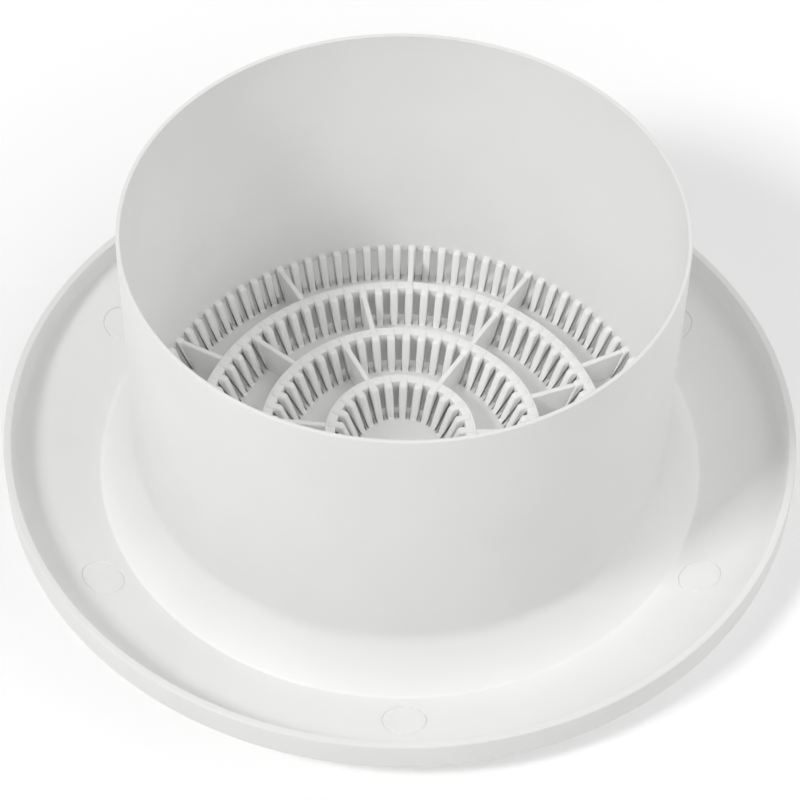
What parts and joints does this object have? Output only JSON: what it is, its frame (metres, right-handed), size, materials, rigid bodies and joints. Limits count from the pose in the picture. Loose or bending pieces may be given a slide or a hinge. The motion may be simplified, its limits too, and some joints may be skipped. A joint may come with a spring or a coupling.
{
  "type": "ceiling vent cover",
  "caption": "Round white plastic ceiling vent cover: a dished flange with a raised lip, a plain duct collar and a grille of concentric louvre rings inside it.",
  "frame": {"origin": "on the axis of the collar, in the ceiling plane that the flange's lip seats against", "axes": "+Z along the collar axis, up into the duct; +Y through the first bar of every louvre ring"},
  "size_m": [0.22, 0.22, 0.0934],
  "materials": {
    "white_plastic": "satin injection-moulded white plastic"
  },
  "bodies": {
    "root": {"vent_cover": "white_plastic"}
  },
  "joints": []
}
